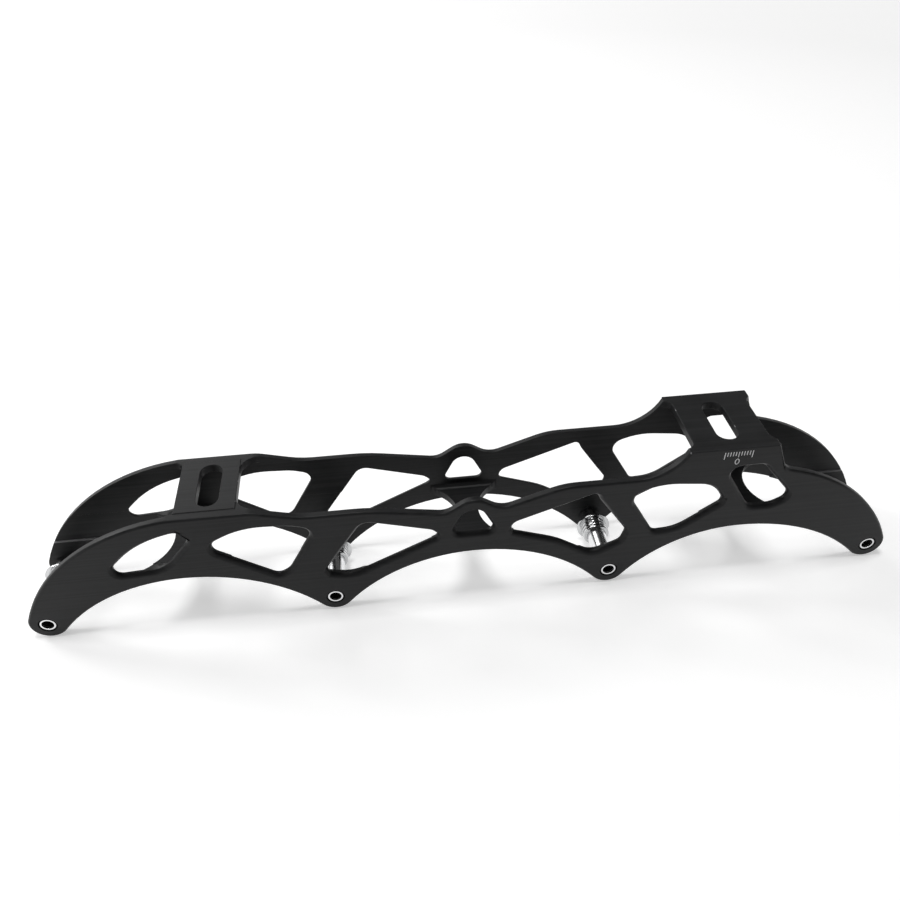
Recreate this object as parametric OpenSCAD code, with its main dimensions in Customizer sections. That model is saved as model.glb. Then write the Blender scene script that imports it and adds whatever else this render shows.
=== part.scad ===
// Inline skate frame for four wheels in a row. Two machined side walls are joined by a toe plate,
// a raised heel plate and three bridges. Four screw axles cross the walls, each with a loose hub spacer.
// X runs from toe to heel, Y across the frame and Z up from the floor that the axle lugs stand on.
// Every height below is measured up from the line through the axles.

/* [Wheels] */
// Distance between neighbouring axles
axle_pitch = 95; // [93:0.5:100]
// Width of a wheel hub over its two bearings
hub_w = 24; // [20:0.5:28]
// Side play of a hub between the walls
hub_play = 0.4; // [0.2:0.1:1]

/* [Side walls] */
// Thickness of each wall
wall = 2.5; // [2:0.1:4]
// Radius of the lug round each axle
lug_r = 6.2; // [5.6:0.1:7]
// Top of each wheel arch
arch_h = 15.8; // [13:0.1:18]
// Shift of each arch's top from midway between its axles, toe to heel
arch_shift = [0, 0, -4];
// Distance from the toe axle to the crown of the toe curve
toe_reach = 54.7; // [50:0.1:58]
// Distance from the heel axle to the crown of the heel curve
heel_reach = 55.7; // [50:0.1:60]
// Height of the band that takes the hubs over the inner faces
band_h = 0.3; // [0.1:0.1:1]
// Depth of the shallow relief along the inner faces, over the band
relief_d = 0.3; // [0.1:0.1:0.6]
// Upper edge of the band and lower edge of the relief
relief_low = 11.2; // [9:0.1:13]
// Upper edge of the relief
relief_high = 22.6; // [21:0.1:24]

/* [Top edge] */
// Level of the rails beside the toe plate
toe_h = 42; // [40:0.5:45]
// Height of the toe curve's crown over the rails, which cut it off
toe_crown = 0.4; // [0.1:0.1:1.5]
// Level of the heel curve's crown
heel_crown = 41.9; // [40:0.1:44]
// Level of the waist behind the toe plate
waist_h = 38.2; // [37:0.1:40]
// Level of the two dips beside the crest
dip_h = 34; // [32:0.5:36]
// Distance from the middle to each dip
dip_x = 9; // [8:0.1:10]
// Level of the crest over the bridge, before it is rounded
crest_h = 40.1; // [39:0.1:42]
// Level of the saddle before the heel plate
saddle_h = 41; // [39:0.5:43]
// Level of the heel plate
heel_h = 51; // [48:0.5:56]
// Radius of the rise from the saddle to the heel plate
heel_rise_r = 17; // [15:0.5:22]
// Radius of the fillet between the heel block and the heel curve
heel_fillet_r = 6; // [3:0.5:10]
// Slope of the heel block's rear flank, in degrees
heel_flank = 68; // [60:1:80]

/* [Boot mounts] */
// Distance between the slots of the toe and heel plates
mount_pitch = 166; // [162:0.5:170]
// Width of each slot
slot_w = 7.2; // [6.2:0.1:8.4]
// Length of each slot, end to end
slot_len = 19.5; // [12:0.5:21]
// Thickness of the toe and heel plates
plate_t = 2.6; // [2:0.1:4]
// Reach of the toe plate before and behind its slot
toe_plate_x = [9.8, 9];
// Fillets of the toe plate, before and behind, seen from above
toe_plate_r = [2.8, 6];
// Height of the toe plate's pad over the rails
pad_h = 0.25; // [0.1:0.05:0.6]
// Width of the toe plate's pad
pad_w = 23.6; // [22:0.1:24]
// Reach of the heel plate before and behind its slot
heel_plate_x = [12.5, 12.8];
// Fillets of the heel plate, before and behind, seen from above
heel_plate_r = [3, 4.5];
// Reach of the heel block before and behind its slot
heel_block_x = [14.9, 14.5];

/* [Bridges] */
// Width of a bridge at its waist
bridge_w = 7; // [5:0.5:9]
// Radius of the two round cuts that shape a bridge
bridge_cut_r = 14; // [12:0.5:20]
// Level of the top of the bridges
bridge_h = 20.6; // [19:0.1:21]
// Thickness of the bridges
bridge_t = 3; // [2:0.1:4]
// Fillet from a bridge up to each wall
bridge_r = 2; // [1:0.1:2.5]

/* [Axles] */
// Radius of the shank
shank_r = 3.4; // [3.2:0.1:3.6]
// Radius of the thinner end that screws into the near wall
tip_r = 3; // [2.6:0.1:3.1]
// Gap between the step of the shank and the near wall
step_gap = 0.1; // [0.05:0.05:0.3]
// Radius of the head
head_r = 4.2; // [3.9:0.1:4.8]
// Thickness of the head
head_t = 1.5; // [1.2:0.1:1.8]
// Depth of both ends below the faces of the walls
end_inset = 0.2; // [0:0.05:0.4]
// Width of the hexagon socket across its flats
socket_w = 4; // [3:0.5:4]
// Depth of the hexagon socket
socket_d = 3; // [2:0.1:4]
// Chamfer at the rim of the head
head_chamfer = 0.3; // [0.1:0.05:0.5]
// Chamfer at the thinner end
tip_chamfer = 0.35; // [0.1:0.05:0.6]
// Radius of the blind hole in the thinner end
tip_hole_r = 2; // [1:0.1:2.2]
// Depth of the blind hole in the thinner end
tip_hole_d = 5.5; // [2:0.1:8]

/* [Spacers] */
// Length of a spacer
spacer_len = 10.3; // [8:0.1:14]
// Length of the shoulder beside the far wall
shoulder_len = 5; // [3:0.1:6]
// Radius of the shoulder
shoulder_r = 4; // [3.9:0.1:4.5]
// Thickness of the flange between shoulder and barrel
flange_t = 0.8; // [0.5:0.1:1.5]
// Height of the flange over the floor
flange_lift = 0.2; // [0.1:0.1:1]
// Radius of the barrel
barrel_r = 4.7; // [4.4:0.1:5]
// Number of grooves round the barrel
groove_n = 2; // [0:1:3]
// Width of a groove
groove_w = 0.5; // [0.3:0.1:0.8]
// Depth of a groove
groove_d = 0.3; // [0.1:0.05:0.5]
// Chamfer at both ends of a spacer
spacer_chamfer = 0.3; // [0.1:0.05:0.4]
// Gap between a spacer and the wall that it rests by
spacer_gap = 0.2; // [0.1:0.05:0.5]

/* [Fits] */
// Radial clearance of a shank in its bores
shank_fit = 0.05; // [0.02:0.01:0.1]
// Radial clearance of a head in its counterbore
head_fit = 0.08; // [0.02:0.01:0.1]

/* [Hidden] */
$fn = 64;

// Greatest distance between a curve of an outline and its chords
chord_error = 0.03;
// Depth by which one solid is sunk into another, or a cut runs past a face
bite = 1;

// Places along the frame
axle_x = [for (i = [-1.5 : 1 : 1.5]) i * axle_pitch];
toe_x = -mount_pitch / 2;
heel_x = mount_pitch / 2;
frame_len = 3 * axle_pitch + 2 * lug_r;

// Places across the frame, from the middle outwards
hub_y = (hub_w + hub_play) / 2;
inner_y = hub_y + band_h;
outer_y = inner_y + wall;

// Half of a wheel arch leaves its top flat and touches a lug at the distance span
function arch_r(span) = (pow(span, 2) + pow(arch_h, 2) - pow(lug_r, 2)) / (2 * (arch_h + lug_r));
function arch_end(span) = atan2(arch_r(span) - arch_h, span);
span_before = [for (shift = arch_shift) axle_pitch / 2 + shift];
span_behind = [for (shift = arch_shift) axle_pitch / 2 - shift];

// An end curve wraps round the outermost lug and reaches its crown level at the distance reach
function end_r(reach, crown) = (pow(reach, 2) + pow(crown, 2) - pow(lug_r, 2)) / (2 * (crown - lug_r));
toe_r = end_r(toe_reach, toe_h + toe_crown);
toe_c = [axle_x[0] + toe_reach, toe_h + toe_crown - toe_r];
toe_end = atan2(-toe_c.y, -toe_reach);
toe_crease = 180 - asin((toe_h - toe_c.y) / toe_r);
heel_r = end_r(heel_reach, heel_crown);
heel_c = [axle_x[3] - heel_reach, heel_crown - heel_r];
heel_end = atan2(-heel_c.y, heel_reach);

// The rise to the heel plate leaves the saddle flat and ends at the front of the heel block
rise_end = asin((heel_h - saddle_h - heel_rise_r) / heel_rise_r);
rise_c = [heel_x - heel_block_x[0] - heel_rise_r * cos(rise_end), saddle_h + heel_rise_r];

// The fillet behind the heel block touches its flank and the heel curve
flank_dir = [cos(heel_flank), -sin(heel_flank)];
flank_out = [sin(heel_flank), cos(heel_flank)];
flank_top = [heel_x + heel_block_x[1], heel_h];
flank_from = flank_top + flank_out * heel_fillet_r - heel_c;
flank_mid = flank_from * flank_dir;
flank_t = -flank_mid - sqrt(flank_mid * flank_mid - flank_from * flank_from
    + pow(heel_r + heel_fillet_r, 2));
fillet_c = heel_c + flank_from + flank_dir * flank_t;
fillet_a = atan2(fillet_c.y - heel_c.y, fillet_c.x - heel_c.x);

// Points of an arc from angle a0 to angle a1
function arc(c, r, a0, a1) =
    let (n = ceil(abs(a1 - a0) / (2 * acos(1 - min(1, chord_error / r)))))
    [for (i = [0 : n]) let (a = a0 + (a1 - a0) * i / n) c + r * [cos(a), sin(a)]];

// One corner [x, height, radius] between its neighbours, rounded within half of either side
function rounded_corner(before, at, after) =
    let (
        p = [at.x, at.y],
        to_before = [before.x, before.y] - p,
        to_after = [after.x, after.y] - p,
        u = to_before / norm(to_before),
        v = to_after / norm(to_after),
        half = acos(u * v) / 2,
        run = min(at.z / tan(half), norm(to_before) / 2, norm(to_after) / 2),
        r = run * tan(half),
        c = p + (u + v) / norm(u + v) * r / sin(half),
        from = p + u * run - c,
        to = p + v * run - c,
        a0 = atan2(from.y, from.x),
        turn = (atan2(to.y, to.x) - a0 + 540) % 360 - 180
    )
    arc(c, r, a0, a0 + turn);

// A closed outline with every corner rounded
function rounded(corners) =
    let (n = len(corners))
    [for (i = [0 : n - 1])
        each rounded_corner(corners[(i + n - 1) % n], corners[i], corners[(i + 1) % n])];

// An open run of corners, rounded between its two ends
function rounded_run(corners) =
    [for (i = [1 : len(corners) - 2]) each rounded_corner(corners[i - 1], corners[i], corners[i + 1])];

// Corners of the top edge from the toe rail to the saddle
top_edge = [
    [toe_x, toe_h, 0],
    [toe_x + 14, toe_h, 14],
    [axle_x[1] - 7.5, waist_h, 30],
    [axle_x[1] + 14.5, waist_h, 60],
    [-dip_x, dip_h, 6],
    [0, crest_h, 6.5],
    [dip_x, dip_h, 7],
    [axle_x[2] - 18.5, saddle_h, 24],
    [rise_c.x, saddle_h, 0],
];

// Half of an arch between two angles, its top at x
function half_arch(x, span, a0, a1) = arc([x, arch_h - arch_r(span)], arch_r(span), a0, a1);

// The arch before axle i, from that axle towards the toe
function wheel_arch(i) =
    let (before = span_before[i - 1], behind = span_behind[i - 1], x = axle_x[i] - behind)
    concat(
        half_arch(x, behind, arch_end(behind), 90),
        half_arch(x, before, 90, 180 - arch_end(before))
    );

// The lower rim of the lug round axle i, from heel to toe
function lug_rim(i) =
    let (
        a0 = i == 3 ? heel_end : -arch_end(span_before[i]),
        a1 = i == 0 ? toe_end - 360 : arch_end(span_behind[i - 1]) - 180
    )
    concat(arc([axle_x[i], 0], lug_r, a0, -90), arc([axle_x[i], 0], lug_r, -90, a1));

// Side view of a wall: toe curve, top edge, heel block, heel curve, then lugs and arches back to the toe
wall_outline = concat(
    arc(toe_c, toe_r, toe_end, toe_crease),
    rounded_run(top_edge),
    arc(rise_c, heel_rise_r, -90, rise_end),
    [flank_top],
    arc(fillet_c, heel_fillet_r, 180 + 90 - heel_flank, 180 + fillet_a),
    arc(heel_c, heel_r, fillet_a, heel_end),
    [for (i = [3 : -1 : 0]) each concat(lug_rim(i), i == 0 ? [] : wheel_arch(i))]
);

// Corners of the windows, toe to heel, each placed from the axle, plate or edge that it follows
toe_window = [
    [axle_x[0] + 22.8, arch_h + 3.4, 2.6],
    [toe_x - 16.5, arch_h + 4.8, 12],
    [toe_x - 2, toe_h - 4, 3.3],
    [toe_x - 22.7, toe_h - 9, 34],
];
front_window = [
    [toe_x - 3.5, arch_h + 12.7, 3.2],
    [axle_x[1] - 17.1, 12.8, 3],
    [axle_x[1] - 13.3, 15, 5],
    [axle_x[1] - 3.6, waist_h - 6.2, 4.5],
    [axle_x[1] - 11, waist_h - 3.7, 16],
    [toe_x + 9.8, waist_h - 2.9, 26],
];
front_waist_window = [
    [axle_x[1] - 2.6, 11.6, 2.3],
    [axle_x[1] + 6.9, 9.4, 12],
    [-dip_x - 1.9, bridge_h + 3.5, 2.2],
    [-dip_x - 4.9, dip_h - 7.2, 3],
    [axle_x[1] + 11.8, waist_h - 4.8, 4.2],
];
crest_window = [
    [-7.6, bridge_h + 3.4, 2],
    [7.6, bridge_h + 3.4, 2],
    [0, crest_h - 0.9, 4.2],
];
rear_waist_window = [
    [dip_x + 3.1, bridge_h + 2.5, 2.6],
    [axle_x[2] - 19.5, 17.2, 30],
    [axle_x[2] - 6.7, 8.5, 5.9],
    [axle_x[2] + 2.7, 13.7, 3],
    [axle_x[2] + 4, 18.4, 2.2],
    [axle_x[2] - 6.2, saddle_h - 7.4, 12],
    [axle_x[2] - 7.5, saddle_h - 4.4, 3],
    [dip_x + 4.3, dip_h - 7.3, 3.5],
];
rear_window = [
    [axle_x[2] + 3.5, saddle_h - 7.1, 4.1],
    [axle_x[2] + 13.6, 16.6, 2.3],
    [axle_x[2] + 21.3, 17, 12.8],
    [heel_x + 0.7, arch_h + 12.2, 2.3],
    [heel_x - 4.1, saddle_h - 5.4, 24],
    [axle_x[2] + 14, saddle_h - 3.3, 23],
];
heel_window = [
    [heel_x - 1.5, heel_h - 8.3, 3],
    [heel_x + 11.4, heel_h - 8.3, 3.2],
    [axle_x[3] - 35.5, arch_h + 11.8, 3.2],
    [axle_x[3] - 41.5, arch_h + 8.4, 7],
    [heel_x + 10, arch_h + 8.4, 4],
];
windows = [
    toe_window, front_window, front_waist_window, crest_window,
    rear_waist_window, rear_window, heel_window,
];

// Extrudes a side view across the frame, from y_low to y_high
module across(y_low, y_high) {
    translate([0, y_high, 0])
        rotate([90, 0, 0])
            linear_extrude(y_high - y_low)
                children();
}

// One side wall, with the band that takes the hubs and the relief over it on the inner face
module side_wall() {
    difference() {
        across(hub_y, outer_y)
            polygon(wall_outline);
        translate([-frame_len, inner_y - bite, relief_low])
            cube([2 * frame_len, bite, heel_h]);
        translate([-frame_len, inner_y - bite, relief_low])
            cube([2 * frame_len, bite + relief_d, relief_high - relief_low]);
    }
}

// The windows of one side wall
module wall_windows() {
    across(hub_y - bite, outer_y + bite)
        for (corners = windows)
            polygon(rounded(corners));
}

// Top view of a web from x0 to x1 that meets both walls in fillets of radius r0 and r1
function web_plan(x0, x1, r0, r1) = concat(
    arc([x0 - r0, r0 - inner_y], r0, 0, -90),
    [[x0 - r0, -inner_y - bite], [x1 + r1, -inner_y - bite]],
    arc([x1 + r1, r1 - inner_y], r1, -90, -180),
    arc([x1 + r1, inner_y - r1], r1, 180, 90),
    [[x1 + r1, inner_y + bite], [x0 - r0, inner_y + bite]],
    arc([x0 - r0, inner_y - r0], r0, 90, 0)
);

// A boot plate that ends below the top edge of the walls
module plate(plan, level) {
    intersection() {
        translate([0, 0, level - plate_t])
            linear_extrude(plate_t + bite)
                polygon(plan);
        across(-outer_y, outer_y)
            polygon(wall_outline);
    }
}

module toe_plate() {
    plan = web_plan(toe_x - toe_plate_x[0], toe_x + toe_plate_x[1], toe_plate_r[0], toe_plate_r[1]);
    plate(plan, toe_h);
    translate([0, 0, toe_h - bite])
        linear_extrude(bite + pad_h)
            translate([toe_x - toe_plate_x[0], -pad_w / 2])
                square([toe_plate_x[0] + toe_plate_x[1], pad_w]);
}

module heel_plate() {
    plan = web_plan(heel_x - heel_plate_x[0], heel_x + heel_plate_x[1], heel_plate_r[0], heel_plate_r[1]);
    plate(plan, heel_h);
}

// A bridge between two wheels: an hourglass from above, a shallow trough along the frame
module bridge(x) {
    cut_x = bridge_w / 2 + bridge_cut_r;
    end_y = inner_y + bite;
    fillet_y = inner_y + relief_d - bridge_r;
    intersection() {
        translate([x, 0, bridge_h - bridge_t])
            linear_extrude(bridge_t + bridge_r)
                difference() {
                    translate([-cut_x, -end_y])
                        square([2 * cut_x, 2 * end_y]);
                    for (side = [-1, 1])
                        translate([side * cut_x, 0])
                            circle(bridge_cut_r);
                }
        rotate([90, 0, 90])
            translate([0, 0, x - cut_x])
                linear_extrude(2 * cut_x)
                    polygon(concat(
                        [[-end_y, bridge_h + bridge_r], [-end_y, bridge_h - bridge_t]],
                        [[end_y, bridge_h - bridge_t], [end_y, bridge_h + bridge_r]],
                        arc([fillet_y, bridge_h + bridge_r], bridge_r, 0, -90),
                        arc([-fillet_y, bridge_h + bridge_r], bridge_r, -90, -180)
                    ));
    }
}

// A slot across a plate for one boot bolt
module slot(x, level) {
    half_run = (slot_len - slot_w) / 2;
    translate([x, 0, level - plate_t - bite])
        linear_extrude(plate_t + pad_h + 2 * bite) {
            translate([-slot_w / 2, -half_run])
                square([slot_w, 2 * half_run]);
            for (side = [-1, 1])
                translate([0, side * half_run])
                    circle(slot_w / 2);
        }
}

// Bores through both walls, wider in the far one, and the counterbore that takes the axle's head
module axle_bore() {
    rotate([90, 0, 0])
        cylinder(r = tip_r + shank_fit, h = 2 * (outer_y + bite), center = true);
    rotate([-90, 0, 0])
        cylinder(r = shank_r + shank_fit, h = outer_y + bite);
    translate([0, outer_y - end_inset - head_t, 0])
        rotate([-90, 0, 0])
            cylinder(r = head_r + head_fit, h = head_t + end_inset + bite);
}

module frame() {
    color("#1d1e20")
        translate([0, 0, lug_r])
            difference() {
                union() {
                    side_wall();
                    mirror([0, 1, 0])
                        side_wall();
                    toe_plate();
                    heel_plate();
                    for (i = [-1 : 1])
                        bridge(i * axle_pitch);
                }
                wall_windows();
                mirror([0, 1, 0])
                    wall_windows();
                slot(toe_x, toe_h);
                slot(heel_x, heel_h);
                for (x = axle_x)
                    translate([x, 0, 0])
                        axle_bore();
            }
}

// A screw axle along Y, its thinner end in the near wall and its socket head in the far one
module axle(x) {
    axle_len = 2 * (outer_y - end_inset);
    step = axle_len / 2 + hub_y - step_gap;
    color("#c4c7cb")
        translate([x, axle_len / 2, lug_r])
            rotate([90, 0, 0])
                difference() {
                    rotate_extrude()
                        polygon([
                            [0, 0],
                            [head_r - head_chamfer, 0],
                            [head_r, head_chamfer],
                            [head_r, head_t],
                            [shank_r, head_t],
                            [shank_r, step],
                            [tip_r, step],
                            [tip_r, axle_len - tip_chamfer],
                            [tip_r - tip_chamfer, axle_len],
                            [0, axle_len],
                        ]);
                    translate([0, 0, -bite])
                        cylinder(d = socket_w / cos(30), h = bite + socket_d, $fn = 6);
                    translate([0, 0, axle_len - tip_hole_d])
                        cylinder(r = tip_hole_r, h = tip_hole_d + bite);
                }
}

// A loose sleeve on the axle: a shoulder by the far wall, a flange and a grooved barrel
module spacer(x) {
    bore_r = shank_r + shank_fit;
    flange_r = lug_r - flange_lift;
    barrel_from = shoulder_len + flange_t;
    groove_pitch = (spacer_len - barrel_from) / (groove_n + 1);
    color("#d2d4d6")
        translate([x, hub_y - spacer_gap, lug_r])
            rotate([90, 0, 0])
                rotate_extrude()
                    polygon([
                        [bore_r, 0],
                        [shoulder_r - spacer_chamfer, 0],
                        [shoulder_r, spacer_chamfer],
                        [shoulder_r, shoulder_len],
                        [flange_r, shoulder_len],
                        [flange_r, barrel_from],
                        [barrel_r, barrel_from],
                        for (i = [1 : 1 : groove_n])
                            let (mid = barrel_from + i * groove_pitch)
                            each [
                                [barrel_r, mid - groove_w / 2],
                                [barrel_r - groove_d, mid - groove_w / 2],
                                [barrel_r - groove_d, mid + groove_w / 2],
                                [barrel_r, mid + groove_w / 2],
                            ],
                        [barrel_r, spacer_len - spacer_chamfer],
                        [barrel_r - spacer_chamfer, spacer_len],
                        [bore_r, spacer_len],
                    ]);
}

frame();
for (i = [0 : 3]) {
    axle(axle_x[i]);
    spacer(axle_x[i]);
}
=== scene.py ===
# %% [markdown]
# # Inline skate frame
# The CAD part is loaded first and stays where it is: one machined frame, four screw axles and four loose
# spacers. The cells below give it rounded edges, finishes, a setting scale, a floor, light and a camera.
# Sizes of the part are typed in millimetres and become metres through MM, because Blender's unit here is
# the metre. Floor, lamps and screens are far larger than the part, so they are typed in metres.

import bmesh
import bpy
import numpy as np
from mathutils import Matrix


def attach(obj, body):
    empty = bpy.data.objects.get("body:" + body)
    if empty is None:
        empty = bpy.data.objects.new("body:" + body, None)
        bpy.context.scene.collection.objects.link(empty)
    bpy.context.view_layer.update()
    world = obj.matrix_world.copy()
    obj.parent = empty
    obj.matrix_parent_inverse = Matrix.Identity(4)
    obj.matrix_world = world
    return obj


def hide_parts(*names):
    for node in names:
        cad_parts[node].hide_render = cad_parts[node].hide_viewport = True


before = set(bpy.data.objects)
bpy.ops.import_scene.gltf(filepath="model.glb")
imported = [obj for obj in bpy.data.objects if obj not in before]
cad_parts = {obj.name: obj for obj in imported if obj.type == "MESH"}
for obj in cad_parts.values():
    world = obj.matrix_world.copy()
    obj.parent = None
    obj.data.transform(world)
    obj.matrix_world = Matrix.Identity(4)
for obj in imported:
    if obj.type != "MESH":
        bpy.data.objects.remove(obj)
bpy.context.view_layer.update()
scene = bpy.context.scene
scene.view_settings.view_transform = "Standard"
MM = 0.001
AXLE_PITCH = 95.0
AXLE_X = AXLE_PITCH * (np.arange(4) - 1.5)
AXLE_Z = 6.2
print("nodes:", sorted(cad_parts))

# %% [markdown]
# ## Camera
# The photograph looks down on the frame from the near side, a little left of its middle. A camera can be
# placed by hand until the outlines agree, or worked out from points of known size. Here the axle ends,
# plates and windows gave its place, its look direction and its lens, so the numbers are simply written
# down. Blender's camera looks along its own -Z with +Y up, so the matrix columns are right, up and back.

# %% Camera
CAMERA_AT = np.array([-26.440, -198.356, 221.896]) * MM
LOOK = np.array([0.07906, 0.76154, -0.64328])
RIGHT = np.array([0.99319, -0.11558, -0.01477])
SENSOR = 36.0
LENS = 32.504
NEAREST_SEEN, FARTHEST_SEEN = 0.01, 50.0


def camera_matrix(at, look, right):
    """Columns are the right vector, the up vector (back crossed with right), the back vector, the place."""
    back = -look / np.linalg.norm(look)
    up = np.cross(back, right)
    up = up / np.linalg.norm(up)
    matrix = np.eye(4)
    matrix[:3, 0], matrix[:3, 1], matrix[:3, 2], matrix[:3, 3] = np.cross(up, back), up, back, at
    return Matrix(matrix.tolist())


camera = bpy.data.objects.new("camera", bpy.data.cameras.new("camera"))
scene.collection.objects.link(camera)
camera.matrix_world = camera_matrix(CAMERA_AT, LOOK, RIGHT)
camera.data.sensor_width = SENSOR
camera.data.lens = LENS
camera.data.clip_start = NEAREST_SEEN
camera.data.clip_end = FARTHEST_SEEN
scene.camera = camera
print("camera at", np.round(CAMERA_AT, 4), "lens", camera.data.lens)

# %% [markdown]
# ## Node helpers
# A material is a graph of nodes, and wiring it by hand takes three lines for each node. These helpers add
# a node, start a material, do arithmetic, and carry a range of values over to another one. Every pattern
# reads Object coordinates, so it stays on the metal whatever the view and the pose.

# %% Node helpers
def add_node(tree, kind, inputs=(), **properties):
    """Adds a node of that kind, sets its properties, and then the sockets named in inputs."""
    node = tree.nodes.new(kind)
    for name, value in properties.items():
        setattr(node, name, value)
    for name, value in dict(inputs).items():
        node.inputs[name].default_value = value
    return node


def new_material(name):
    """A material with a Principled shader on its output: (material, tree, shader, object coordinates)."""
    material = bpy.data.materials.new(name)
    material.use_nodes = True
    tree = material.node_tree
    shader = tree.nodes["Principled BSDF"]
    coordinates = add_node(tree, "ShaderNodeTexCoord")
    return material, tree, shader, coordinates.outputs["Object"]


def math_node(tree, operation, *values):
    """One arithmetic node on values that are sockets or numbers."""
    node = add_node(tree, "ShaderNodeMath", operation=operation)
    for socket, value in zip(node.inputs, values):
        if isinstance(value, (int, float)):
            socket.default_value = value
        else:
            tree.links.new(value, socket)
    return node.outputs["Value"]


def remap(tree, value, low, high, to_low, to_high):
    """Carries values between low and high over to the range from to_low to to_high, and holds them there."""
    ends = {"From Min": low, "From Max": high, "To Min": to_low, "To Max": to_high}
    node = add_node(tree, "ShaderNodeMapRange", ends)
    tree.links.new(value, node.inputs["Value"])
    return node.outputs["Result"]


def fades_in(tree, length, start, end):
    """0 up to start millimetres, rising to 1 at end millimetres."""
    return remap(tree, length, start * MM, end * MM, 0.0, 1.0)


def fades_out(tree, length, start, end):
    """1 up to start millimetres, falling to 0 at end millimetres."""
    return remap(tree, length, start * MM, end * MM, 1.0, 0.0)


print("helpers:", [f.__name__ for f in (add_node, new_material, math_node, remap, fades_in, fades_out)])

# %% [markdown]
# ## Pattern helpers
# All finishes here are made of the same few steps: a noise that may be stretched one way, a ramp between
# two tones, a second colour mixed in where something wears or sticks, and a bump. Image textures could do
# the same, but they need unwrapped faces and blur close up, while these patterns hold at any distance.

# %% Pattern helpers
NOISE_SPREAD = (0.3, 0.7)


def stretched_noise(tree, place, scale, detail=3.0, roughness=0.55):
    """Noise with a grain of 1/scale metres on each axis: small numbers along brushed lines, large across."""
    mapping = add_node(tree, "ShaderNodeMapping", {"Scale": scale})
    noise = add_node(tree, "ShaderNodeTexNoise", {"Scale": 1.0, "Detail": detail, "Roughness": roughness})
    tree.links.new(place, mapping.inputs["Vector"])
    tree.links.new(mapping.outputs["Vector"], noise.inputs["Vector"])
    return noise.outputs["Fac"]


def two_colours(tree, value, dark, light):
    """A colour ramp from dark at 0 to light at 1."""
    ramp = add_node(tree, "ShaderNodeValToRGB")
    ramp.color_ramp.elements[0].color = (*dark, 1)
    ramp.color_ramp.elements[1].color = (*light, 1)
    tree.links.new(value, ramp.inputs["Fac"])
    return ramp.outputs["Color"]


def mixed_in(tree, share, colour, other):
    """The colour where share is 0, the other one, a fixed colour, where share is 1."""
    mix = add_node(tree, "ShaderNodeMix", data_type="RGBA")
    mix.inputs["B"].default_value = (*other, 1)
    tree.links.new(share, mix.inputs["Factor"])
    tree.links.new(colour, mix.inputs["A"])
    return mix.outputs["Result"]


def bump(tree, height, distance, strength, under=None):
    """Bends the surface normal by a height pattern of that depth in metres. Bumps can be stacked."""
    node = add_node(tree, "ShaderNodeBump", {"Distance": distance, "Strength": strength})
    tree.links.new(height, node.inputs["Height"])
    if under is not None:
        tree.links.new(under, node.inputs["Normal"])
    return node.outputs["Normal"]


def along_axes(tree, place):
    """The three coordinates of a place, each as a socket of its own."""
    axes = add_node(tree, "ShaderNodeSeparateXYZ")
    tree.links.new(place, axes.inputs["Vector"])
    return axes.outputs["X"], axes.outputs["Y"], axes.outputs["Z"]


print("patterns:", [f.__name__ for f in (stretched_noise, two_colours, mixed_in, bump, along_axes)])

# %% [markdown]
# ## Where the black is worn off, and a painted highlight
# Use leaves bare metal at the corners of the plates and slots, as chips. The milled ledge inside the walls
# gets a painted highlight: a pale line in the colour of bare metal, where its edge catches light.
# Both could be painted into an image, but they follow from places that are known: the ledge is a level,
# and the chips are a short list of spots.

# %% Where the black is worn off, and a painted highlight
LEDGE_Z = 17.4
LEDGE_REACH = (0.18, 0.28)
LEDGE_SKIN = (12.9, 13.0)
CHIP_REACH = (0.2, 0.6)
WORN_SPOTS = np.array([
    [-74.0, 0.9, 48.4], [-74.0, -8.5, 48.4], [86.6, -3.7, 57.2], [70.5, 7.2, 57.2],
    [68.3, -12.9, 57.2], [68.2, -14.8, 57.1], [97.4, 13.0, 57.2], [97.4, -14.7, 57.1],
])


def on_ledge(tree, place):
    """1 on the ledge inside the walls, where its highlight is painted: close to its level, and nearer to the
    middle than the walls' skin.
    """
    _, across, level = along_axes(tree, place)
    off = math_node(tree, "ABSOLUTE", math_node(tree, "SUBTRACT", level, LEDGE_Z * MM))
    inside = fades_out(tree, math_node(tree, "ABSOLUTE", across), *LEDGE_SKIN)
    return math_node(tree, "MULTIPLY", fades_out(tree, off, *LEDGE_REACH), inside)


def by_a_worn_spot(tree, place):
    """1 close to any worn spot, falling to 0 further off: the least of the distances, carried over."""
    least = None
    for spot in WORN_SPOTS:
        node = add_node(tree, "ShaderNodeVectorMath", operation="DISTANCE")
        node.inputs[1].default_value = spot * MM
        tree.links.new(place, node.inputs[0])
        distance = node.outputs["Value"]
        least = distance if least is None else math_node(tree, "MINIMUM", least, distance)
    return fades_out(tree, least, *CHIP_REACH)


print("worn spots:", len(WORN_SPOTS), "ledge at", LEDGE_Z, "mm")

# %% [markdown]
# ## Black anodised aluminium
# The frame is milled from a solid bar, blasted and anodised black. It is nearly black with a satin gloss,
# and close to it shows fine grain, faint lines from the milling along the frame, and slow changes of
# gloss. A single dark colour would look like plastic, so three noises drive colour, roughness and bump: a
# coarse one, a fine even grain, and one stretched along X for the lines. Chips belong on edges only, so
# the finish comes twice, once for faces and once for rounded edges.

# %% Black anodised aluminium
BLACK_TONES = (0.0075, 0.0077, 0.0081), (0.0185, 0.0189, 0.0196)
BLACK_GLOSS = (0.37, 0.46)
TONE_SPREAD = (0.36, 0.64)
LINE_SHARE, CLOUD_SHARE = 0.7, 0.3
DULL_SPECULAR = 0.2
GRAIN_DEPTH = 0.00003
LINE_STRENGTH, GRAIN_STRENGTH = 0.16, 0.22
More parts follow.
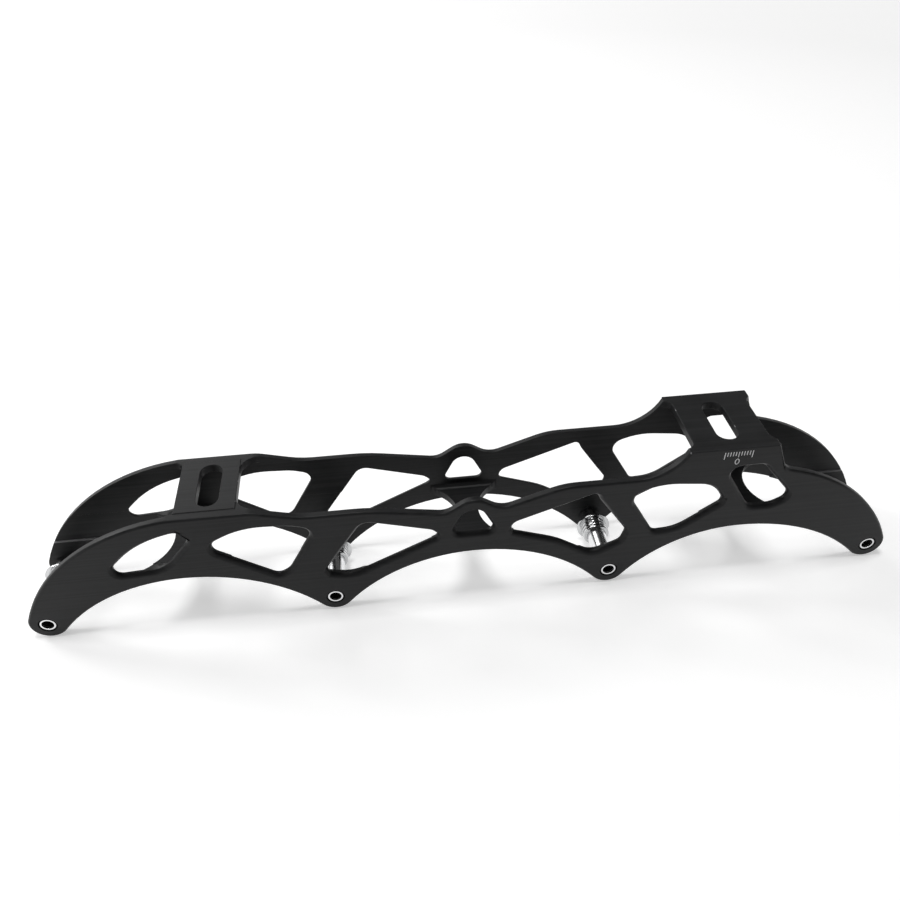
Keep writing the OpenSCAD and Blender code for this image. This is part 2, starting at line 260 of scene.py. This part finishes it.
# Colour of bare metal, for the chips and for the painted highlight on the ledge.
BARE_METAL_AND_HIGHLIGHT = (0.50, 0.50, 0.51)
BARE_AND_HIGHLIGHT_METALLIC = 0.7
LEDGE_HIGHLIGHT_WHERE, LEDGE_HIGHLIGHT_SHARE = (0.35, 0.6), (0.16, 0.34)
FLAKED_WHERE, FLAKED_SHARE = (0.46, 0.52), (0.0, 0.6)


def anodised(name, worn):
    """Satin black with a painted highlight on the ledge. Where worn is true, chips by the worn spots show
    bare metal too.
    """
    material, tree, shader, place = new_material(name)
    cloud = stretched_noise(tree, place, (70, 70, 70))
    grain = stretched_noise(tree, place, (5200, 5200, 5200), detail=1.0)
    lines = stretched_noise(tree, place, (9, 900, 900), roughness=0.65)
    tone = math_node(tree, "MULTIPLY_ADD", lines, LINE_SHARE, math_node(tree, "MULTIPLY", cloud, CLOUD_SHARE))
    black = two_colours(tree, remap(tree, tone, *TONE_SPREAD, 0.0, 1.0), *BLACK_TONES)
    # The ledge gets a painted highlight, a pale line in the bare-metal colour. bare holds this highlight and,
    # where worn, the chips.
    ledge_highlight = remap(tree, cloud, *LEDGE_HIGHLIGHT_WHERE, *LEDGE_HIGHLIGHT_SHARE)
    bare = math_node(tree, "MULTIPLY", on_ledge(tree, place), ledge_highlight)
    if worn:
        specks = stretched_noise(tree, place, (1500, 1500, 1500), roughness=0.7)
        flakes = remap(tree, specks, *FLAKED_WHERE, *FLAKED_SHARE)
        chips = math_node(tree, "MULTIPLY", flakes, by_a_worn_spot(tree, place))
        bare = math_node(tree, "MAXIMUM", bare, chips)
    milled = bump(tree, lines, GRAIN_DEPTH, LINE_STRENGTH)
    shader.inputs["Specular IOR Level"].default_value = DULL_SPECULAR
    tree.links.new(mixed_in(tree, bare, black, BARE_METAL_AND_HIGHLIGHT), shader.inputs["Base Color"])
    tree.links.new(math_node(tree, "MULTIPLY", bare, BARE_AND_HIGHLIGHT_METALLIC), shader.inputs["Metallic"])
    tree.links.new(remap(tree, tone, *TONE_SPREAD, *BLACK_GLOSS), shader.inputs["Roughness"])
    tree.links.new(bump(tree, grain, GRAIN_DEPTH, GRAIN_STRENGTH, milled), shader.inputs["Normal"])
    return material


black_face = anodised("satin_black", False)
black_edge = anodised("satin_black_edge", True)
print("finishes:", black_face.name, black_edge.name)

# %% [markdown]
# ## A copy of the frame to round
# A milled and tumbled frame has no knife edges. The CAD mesh can't be changed, and its triangles are
# loose, so a copy is made: points that lie together become one, and flat neighbours become one face. Only
# then does every edge know the two faces it lies between, and the angle between them tells corners from
# facets.

# %% A copy of the frame to round
SAME_POINT = 2e-6
FLAT_ANGLE = np.radians(0.5)


def merged_copy(name, node):
    """A merged copy of a CAD node, and the angle between the two faces at each of its edges."""
    work = bmesh.new()
    work.from_mesh(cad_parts[node].data)
    bmesh.ops.remove_doubles(work, verts=work.verts, dist=SAME_POINT)
    bmesh.ops.dissolve_limit(work, angle_limit=FLAT_ANGLE, verts=work.verts, edges=work.edges)
    mesh = bpy.data.meshes.new(name)
    work.to_mesh(mesh)
    angles = np.array([edge.calc_face_angle(0.0) for edge in work.edges])
    work.free()
    piece = bpy.data.objects.new(name, mesh)
    scene.collection.objects.link(piece)
    return piece, angles


def points_and_edges(mesh):
    """All points in millimetres, and the two point numbers of every edge."""
    points = np.empty(3 * len(mesh.vertices), np.float32)
    mesh.vertices.foreach_get("co", points)
    ends = np.empty(2 * len(mesh.edges), np.int32)
    mesh.edges.foreach_get("vertices", ends)
    return points.reshape(-1, 3) / MM, ends.reshape(-1, 2)


frame_body, corner_angles = merged_copy("frame_body", "frame")
print("frame copy:", len(frame_body.data.polygons), "faces,", len(corner_angles), "edges")

# %% [markdown]
# ## A radius for every edge
# On the outer faces of the walls the windows are rounded by a millimetre and a half and the outline by
# less than one, while the heel plate, the slots, the counterbores and the inner edges are only broken.
# Edges could be picked by hand, but the choice would be lost with the next mesh. Here it follows from
# each edge's place, for all edges at once. A rim that runs along most of the frame is the outline, and a
# shorter one is a window.

# %% A radius for every edge
OUTER_Y = 15.0
HEEL_TOP = 57.2
WINDOW_ROUND = 1.5
OUTLINE_ROUND = 0.8
FINE_ROUND = 0.15
CORNER_ANGLE = np.radians(40)
OUTLINE_LENGTH = 250.0
BORE_REACH = 5.0
FACE_TOLERANCE, TOP_TOLERANCE = 0.01, 0.05


def loop_lengths(points, ends, chosen):
    """Length along X of the closed rim that each chosen edge lies on.

    Every point starts with its own number. Each pass hands the smaller number across all chosen edges, and
    then follows it to the number found there, until all points of a rim carry one number.
    """
    label = np.arange(len(points))
    pairs = ends[chosen]
    while True:
        least = label[pairs].min(axis=1)
        spread = label.copy()
        np.minimum.at(spread, pairs[:, 0], least)
        np.minimum.at(spread, pairs[:, 1], least)
        spread = spread[spread]
        if np.array_equal(spread, label):
            break
        label = spread
    low = np.full(len(points), np.inf)
    high = np.full(len(points), -np.inf)
    np.minimum.at(low, label[pairs[:, 0]], points[pairs[:, 0], 0])
    np.maximum.at(high, label[pairs[:, 0]], points[pairs[:, 0], 0])
    return (high - low)[label[ends[:, 0]]]


def rounding(mesh, angles):
    """Radius of each edge in millimetres: wide on outer rims, fine on other corners, 0 on facets."""
    points, ends = points_and_edges(mesh)
    x, _, z = points[ends].mean(axis=1).T
    corner = angles > CORNER_ANGLE
    rim = corner & (np.abs(points[ends, 1]).min(axis=1) > OUTER_Y - FACE_TOLERANCE)
    wide = np.where(loop_lengths(points, ends, rim) > OUTLINE_LENGTH, OUTLINE_ROUND, WINDOW_ROUND)
    from_axle = np.min(np.hypot(x[:, None] - AXLE_X, (z - AXLE_Z)[:, None]), axis=1)
    soft = rim & (from_axle >= BORE_REACH) & (z < HEEL_TOP - TOP_TOLERANCE)
    return np.where(soft, wide, np.where(corner, FINE_ROUND, 0.0))


radii = rounding(frame_body.data, corner_angles)
print("frame edges by radius:", dict(zip(*[v.tolist() for v in np.unique(radii, return_counts=True)])))

# %% [markdown]
# ## Rounded edges of the frame
# One Bevel modifier rounds all edges by their weights. Its profile is flatter than a circle, because the
# rims of the real frame look like soft chamfers. Where roundings meet in a corner it leaves tiny faces,
# which Weld takes out. Weighted normals keep the large faces flat up to the rounding. The crease where
# the toe curve meets the straight rail is shallow, so it is marked sharp, or the shading would smooth it
# away.

# %% Rounded edges of the frame
CREASE_X, CREASE_REACH = -95.03, 0.3
RAIL_Z, RAIL_REACH = 48.2, 0.05
CHAMFER_PROFILE = 0.34
CHAMFER_SEGMENTS = 4
TINY_FACE = 4e-6
LARGE_FACES_FIRST = 90


def crease_edges(mesh):
    """True for edges whose middle lies on the crease across the rails."""
    points, ends = points_and_edges(mesh)
    x, _, z = points[ends].mean(axis=1).T
    return (np.abs(x - CREASE_X) < CREASE_REACH) & (np.abs(z - RAIL_Z) < RAIL_REACH)


crease = crease_edges(frame_body.data)
edge_weights = (radii / WINDOW_ROUND).astype(np.float32)
edge_values = frame_body.data.attributes
edge_values.new("sharp_edge", "BOOLEAN", "EDGE").data.foreach_set("value", crease)
edge_values.new("bevel_weight_edge", "FLOAT", "EDGE").data.foreach_set("value", edge_weights)
frame_body.data.polygons.foreach_set("use_smooth", np.ones(len(frame_body.data.polygons), bool))
frame_body.data.materials.clear()
for finish in (black_face, black_edge):
    frame_body.data.materials.append(finish)
rounded = frame_body.modifiers.new("rounded", "BEVEL")
rounded.limit_method = "WEIGHT"
rounded.width = WINDOW_ROUND * MM
rounded.segments = CHAMFER_SEGMENTS
rounded.profile = CHAMFER_PROFILE
rounded.use_clamp_overlap = False
rounded.material = frame_body.data.materials.find(black_edge.name)
joined = frame_body.modifiers.new("joined", "WELD")
joined.merge_threshold = TINY_FACE
weighted = frame_body.modifiers.new("weighted", "WEIGHTED_NORMAL")
weighted.keep_sharp = True
weighted.mode = "FACE_AREA"
weighted.weight = LARGE_FACES_FIRST
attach(frame_body, "frame")
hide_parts("frame")
print("crease edges:", int(crease.sum()))

# %% [markdown]
# ## Lathe finish
# Axles and spacers are turned. Turning leaves rings round the axle line, which are noise that changes
# fast along Y and slowly across it. A wave texture would be too even for this. The thread and the depth
# of the hole in an axle's near end lie in shade, and that shade is painted on there as a near-black colour.
# The painted shade is no metal, so colour and metallic both change there.

# %% Lathe finish
THREAD_FROM_RADIUS = (2.46, 2.58)
THREAD_TO_Y = (-12.3, -12.1)
HOLE_TO_RADIUS = (2.2, 2.3)
HOLE_FROM_Y = (-14.35, -14.0)
HOLE_TO_Y = (-8.0, -7.0)
# Colour of the painted shade on the thread and deep in the hole at an axle's near end.
PAINTED_SHADE_TONE = (0.016, 0.016, 0.017)
RING_DEPTH, RING_STRENGTH = 0.00001, 0.3
GLOSS_SPREAD = 0.1


def near_end_painted_shade(tree, place):
    """1 where shade is painted: on the thread of the near end and deep in its hole, by the distance from the
    nearest axle line.
    """
    x, y, z = along_axes(tree, place)
    along = math_node(tree, "WRAP", x, AXLE_PITCH * MM, 0.0)
    side = math_node(tree, "SUBTRACT", along, AXLE_PITCH / 2 * MM)
    rise = math_node(tree, "SUBTRACT", z, AXLE_Z * MM)
    side_squared = math_node(tree, "MULTIPLY", side, side)
    radius = math_node(tree, "SQRT", math_node(tree, "MULTIPLY_ADD", rise, rise, side_squared))
    thread = math_node(tree, "MULTIPLY", fades_in(tree, radius, *THREAD_FROM_RADIUS),
                       fades_out(tree, y, *THREAD_TO_Y))
    deep = math_node(tree, "MULTIPLY", fades_in(tree, y, *HOLE_FROM_Y), fades_out(tree, y, *HOLE_TO_Y))
    hole = math_node(tree, "MULTIPLY", fades_out(tree, radius, *HOLE_TO_RADIUS), deep)
    return math_node(tree, "MAXIMUM", thread, hole)


def turned_metal(name, dark, light, rough, rings, shaded_end=False):
    """Bright metal with lathe rings: fast noise along Y drives tone and bump, slow noise drives the gloss."""
    material, tree, shader, place = new_material(name)
    lathe = stretched_noise(tree, place, (60, rings, 60), detail=2.0)
    cloud = stretched_noise(tree, place, (500, 500, 500))
    colour = two_colours(tree, remap(tree, lathe, *NOISE_SPREAD, 0.0, 1.0), dark, light)
    shader.inputs["Metallic"].default_value = 1.0
    # On an axle, the thread and the deep hole at the near end get painted shade: near black, and no metal.
    if shaded_end:
        painted_shade = near_end_painted_shade(tree, place)
        colour = mixed_in(tree, painted_shade, colour, PAINTED_SHADE_TONE)
        tree.links.new(math_node(tree, "SUBTRACT", 1.0, painted_shade), shader.inputs["Metallic"])
        shader.inputs["Specular IOR Level"].default_value = DULL_SPECULAR
    tree.links.new(colour, shader.inputs["Base Color"])
    gloss = remap(tree, cloud, *NOISE_SPREAD, rough, rough + GLOSS_SPREAD)
    tree.links.new(gloss, shader.inputs["Roughness"])
    tree.links.new(bump(tree, lathe, RING_DEPTH, RING_STRENGTH), shader.inputs["Normal"])
    return material


plated_steel = turned_metal("plated_steel", dark=(0.76, 0.763, 0.77), light=(0.88, 0.883, 0.89),
                            rough=0.14, rings=7000, shaded_end=True)
bright_aluminium = turned_metal("bright_aluminium", dark=(0.52, 0.525, 0.53), light=(0.66, 0.665, 0.67),
                                rough=0.10, rings=5000)
print("finishes:", plated_steel.name, bright_aluminium.name)

# %% [markdown]
# ## Axles and spacers
# Each axle is steel with a bright plating: a ring at the near wall, a hexagon socket head at the far one.
# The spacers that ride on them are polished aluminium, a little greyer and smoother than the plating,
# with coarser rings. Both have the right shape in the CAD part, so these nodes stay, and get a finish and
# modifiers that break their corners.

# %% Axles and spacers
AXLE_BREAK = 0.06
SPACER_BREAK = 0.08
BREAK_ANGLE = np.radians(35)


def finish_node(node, material, edge):
    """Gives a CAD node its finish, and breaks its corners by edge millimetres. Its mesh stays as it is."""
    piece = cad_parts[node]
    piece.data.materials.clear()
    piece.data.materials.append(material)
    weld = piece.modifiers.new("weld", "WELD")
    weld.merge_threshold = SAME_POINT
    broken = piece.modifiers.new("broken", "BEVEL")
    broken.limit_method = "ANGLE"
    broken.angle_limit = BREAK_ANGLE
    broken.width = edge * MM
    broken.segments = 2
    broken.use_clamp_overlap = True
    piece.modifiers.new("weighted", "WEIGHTED_NORMAL").keep_sharp = True


for number in range(1, len(AXLE_X) + 1):
    finish_node(f"axle_{number}", plated_steel, AXLE_BREAK)
    finish_node(f"spacer_{number}", bright_aluminium, SPACER_BREAK)
print("axles and spacers finished:", len(AXLE_X), "of each")

# %% [markdown]
# ## Setting scale on the heel
# A scale of eleven short lines with a zero under it is marked on both sides of the heel block, to set the
# frame straight under the boot. A laser takes the black off, so the marks are pale and level with the
# face. An image would blur, so each line is a rectangle and the zero is an oval ring, both made as
# arrays. Solidify turns them into thin plates, let into the wall and proud by a hundredth of a
# millimetre.

# %% Lines and zero of the setting scale
SCALE_X = 84.05
SCALE_TOP = 56.1
TICKS_EACH_WAY = 5
TICK_PITCH = 0.91
TICK_WIDTH = 0.3
END_TICK, MIDDLE_TICK, SHORT_TICK = 2.8, 2.3, 1.7
ZERO_Z = 52.0
ZERO_HALF_WIDE, ZERO_HALF_HIGH = 0.78, 1.2
ZERO_STROKE = 0.3
MARK_PROUD = 0.01
MARK_DEPTH = 0.05


def scale_lines(side):
    """Corners of eleven upright rectangles: the ends are longest, the middle next, the rest short."""
    place = np.arange(-TICKS_EACH_WAY, TICKS_EACH_WAY + 1)
    inner = np.where(place == 0, MIDDLE_TICK, SHORT_TICK)
    length = np.where(np.abs(place) == TICKS_EACH_WAY, END_TICK, inner)
    x = SCALE_X + TICK_PITCH * place[:, None] + TICK_WIDTH / 2 * np.array([-1, 1, 1, -1])
    z = SCALE_TOP - length[:, None] * np.array([1, 1, 0, 0])
    y = np.full_like(x, side * (OUTER_Y + MARK_PROUD))
    faces = np.arange(x.size).reshape(-1, 4)
    return np.stack([x, y, z], axis=-1).reshape(-1, 3), faces[:, ::-side]


def zero_ring(side, turns=40):
    """An oval ring: angle round it by two radii, each an ellipse about the ring's middle."""
    angle = np.linspace(0, 2 * np.pi, turns, endpoint=False)[:, None]
    stroke = np.array([0.0, ZERO_STROKE])
    x = SCALE_X + (ZERO_HALF_WIDE - stroke) * np.cos(angle)
    z = ZERO_Z + (ZERO_HALF_HIGH - stroke) * np.sin(angle)
    y = np.full_like(x, side * (OUTER_Y + MARK_PROUD))
    here, there = np.arange(turns), np.roll(np.arange(turns), -1)
    faces = np.stack([2 * here + 1, 2 * here, 2 * there, 2 * there + 1], axis=-1)
    return np.stack([x, y, z], axis=-1).reshape(-1, 3), faces[:, ::-side]


print("scale:", 2 * TICKS_EACH_WAY + 1, "lines over", round(2 * TICKS_EACH_WAY * TICK_PITCH, 2), "mm")

# %% [markdown]
# ## Laser marks
# Where the beam took the black off, the aluminium is pale, matt and a little uneven. It could be one flat
# grey, but a fine grain in tone and gloss keeps the marks from looking printed on. The same arrays serve
# both sides, and the order of the corners is turned round on one of them, so that all faces point
# outwards.

# %% Laser marks
LASER_TONES = (0.80, 0.80, 0.81), (0.93, 0.93, 0.94)
LASER_GLOSS = (0.5, 0.62)


def laser_finish():
    """Pale grey bare aluminium with a fine grain, a little uneven where the beam passed."""
    material, tree, shader, place = new_material("laser_mark")
    grain = stretched_noise(tree, place, (3000, 3000, 3000), detail=2.0)
    pale = two_colours(tree, remap(tree, grain, *NOISE_SPREAD, 0.0, 1.0), *LASER_TONES)
    tree.links.new(pale, shader.inputs["Base Color"])
    tree.links.new(remap(tree, grain, *NOISE_SPREAD, *LASER_GLOSS), shader.inputs["Roughness"])
    return material


laser_mark = laser_finish()
for side, where in ((-1, "near"), (1, "far")):
    lines, line_faces = scale_lines(side)
    ring, ring_faces = zero_ring(side)
    mesh = bpy.data.meshes.new(f"heel_scale_{where}")
    mesh.from_pydata((np.vstack([lines, ring]) * MM).tolist(), [],
                     line_faces.tolist() + (ring_faces + len(lines)).tolist())
    mesh.materials.append(laser_mark)
    marks = bpy.data.objects.new(mesh.name, mesh)
    scene.collection.objects.link(marks)
    plate = marks.modifiers.new("plate", "SOLIDIFY")
    plate.thickness = MARK_DEPTH * MM
    plate.offset = -1
    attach(marks, "frame")
    print(marks.name, len(mesh.polygons), "faces, normal y", round(mesh.polygons[0].normal.y, 2))

# %% [markdown]
# ## Floor
# The frame stands on a plain white sheet. The floor is a large square with a white diffuse finish. Seen
# by the camera or in a reflection it glows a little, which lifts it to white, while the shadows of the
# lamps still show. The lamps reach only the middle, so the glow rises with the distance, and the sheet
# meets the white world unseen.

# %% Floor
FLOOR_HALF = 4.0
SHEET_WHITE = (0.82, 0.82, 0.82, 1)
GLOW_NEAR, GLOW_FAR = 0.45, 0.92
GLOW_RISES_FROM, GLOW_RISES_TO = 0.8, 2.2


def flat_square(name, corners, material):
    """One face through four corners in metres."""
    mesh = bpy.data.meshes.new(name)
    mesh.from_pydata(corners, [], [[0, 1, 2, 3]])
    mesh.materials.append(material)
    square = bpy.data.objects.new(name, mesh)
    scene.collection.objects.link(square)
    return square


def seen_directly(tree):
    """1 for rays from the camera, from a reflection or through glass, otherwise 0."""
    path = add_node(tree, "ShaderNodeLightPath")
    either = math_node(tree, "MAXIMUM", path.outputs["Is Camera Ray"], path.outputs["Is Glossy Ray"])
    return math_node(tree, "MAXIMUM", either, path.outputs["Is Transmission Ray"])


def white_sheet():
    """White diffuse, with a glow for direct views that rises with the distance from the middle."""
    material, tree, shader, place = new_material("white_sheet")
    tree.nodes.remove(shader)
    diffuse = add_node(tree, "ShaderNodeBsdfDiffuse", {"Color": SHEET_WHITE})
    glow = add_node(tree, "ShaderNodeEmission", {"Color": (1, 1, 1, 1)})
    both = add_node(tree, "ShaderNodeAddShader")
    from_middle = add_node(tree, "ShaderNodeVectorMath", operation="LENGTH")
    tree.links.new(place, from_middle.inputs[0])
    lift = remap(tree, from_middle.outputs["Value"], GLOW_RISES_FROM, GLOW_RISES_TO, GLOW_NEAR, GLOW_FAR)
    tree.links.new(math_node(tree, "MULTIPLY", seen_directly(tree), lift), glow.inputs["Strength"])
    tree.links.new(diffuse.outputs["BSDF"], both.inputs[0])
    tree.links.new(glow.outputs["Emission"], both.inputs[1])
    tree.links.new(both.outputs["Shader"], tree.nodes["Material Output"].inputs["Surface"])
    return material


floor_corners = FLOOR_HALF * np.array([[-1, -1, 0], [1, -1, 0], [1, 1, 0], [-1, 1, 0]])
floor = flat_square("floor", floor_corners.tolist(), white_sheet())
print("floor", 2 * FLOOR_HALF, "m wide")

# %% [markdown]
# ## Lamps
# Three soft boxes stand behind the frame, left, right and far left, and throw pale shadows towards the
# viewer. A fourth hangs above and reaches down between the walls. Point lamps would throw hard shadows
# and leave glints on the metal, so all four are square area lamps. Their places and sizes are in metres,
# and their power in watts.

# %% Lamps
def soft_box(name, at, towards, size, power):
    """A square area lamp at a place, turned so that its -Z axis points at a target."""
    lamp = bpy.data.objects.new(name, bpy.data.lights.new(name, "AREA"))
    lamp.data.shape = "SQUARE"
    lamp.data.size = size
    lamp.data.energy = power
    scene.collection.objects.link(lamp)
    back = np.array(at, float) - np.array(towards, float)
    back /= np.linalg.norm(back)
    side = np.cross([0.0, 1.0, 0.02], back)
    lamp.matrix_world = camera_matrix(np.array(at, float), -back, side / np.linalg.norm(side))


soft_box("behind_left", at=(-0.6, 0.95, 0.85), towards=(0, 0, 0.02), size=0.9, power=4.8)
soft_box("behind_right", at=(1.15, 0.6, 0.95), towards=(0, 0, 0), size=0.4, power=1.5)
soft_box("left", at=(-1.35, 0.75, 0.85), towards=(0, 0, 0), size=0.35, power=8)
soft_box("overhead", at=(-0.1, 0.0, 1.15), towards=(0, 0, 0), size=0.3, power=5.6)

# %% [markdown]
# ## Dark screens and world
# On the real frame the rounded rims show as dark bands, because what they mirror, above and in front, is
# dark. Painting the bands on would be wrong in every other view, so the room does it: a dark ceiling and
# a dark screen on the right, which only light and reflections meet. The world is white where the camera
# or a reflection sees it, and dimmer as a light.

# %% Dark screens and world
CEILING_HALF, CEILING_Z = 2.6, 1.25
SCREEN_X = 1.8
SCREEN_FRONT, SCREEN_BACK = -1.0, 1.6
SCREEN_LOW, SCREEN_HIGH = 0.05, 1.2
FELT_GREY = (0.05, 0.05, 0.05, 1)
WORLD_LIGHT, WORLD_SEEN = 0.4, 1.0
dark_felt = bpy.data.materials.new("dark_felt")
dark_felt.use_nodes = True
dark_felt.node_tree.nodes["Principled BSDF"].inputs["Base Color"].default_value = FELT_GREY


def dark_screen(name, corners):
    """A flat four-cornered screen that only light and reflections meet."""
    screen = flat_square(name, corners, dark_felt)
    screen.visible_camera = False


ceiling_corners = CEILING_HALF * np.array([[-1, -1], [-1, 1], [1, 1], [1, -1]])
dark_screen("ceiling", [(x, y, CEILING_Z) for x, y in ceiling_corners.tolist()])
dark_screen("right_screen", [(SCREEN_X, SCREEN_FRONT, SCREEN_LOW), (SCREEN_X, SCREEN_BACK, SCREEN_LOW),
                             (SCREEN_X, SCREEN_BACK, SCREEN_HIGH), (SCREEN_X, SCREEN_FRONT, SCREEN_HIGH)])

world = bpy.data.worlds.new("studio")
scene.world = world
world.use_nodes = True
tree = world.node_tree
background = tree.nodes["Background"]
background.inputs["Color"].default_value = (1, 1, 1, 1)
strength = math_node(tree, "MULTIPLY_ADD", seen_directly(tree), WORLD_SEEN - WORLD_LIGHT, WORLD_LIGHT)
tree.links.new(strength, background.inputs["Strength"])
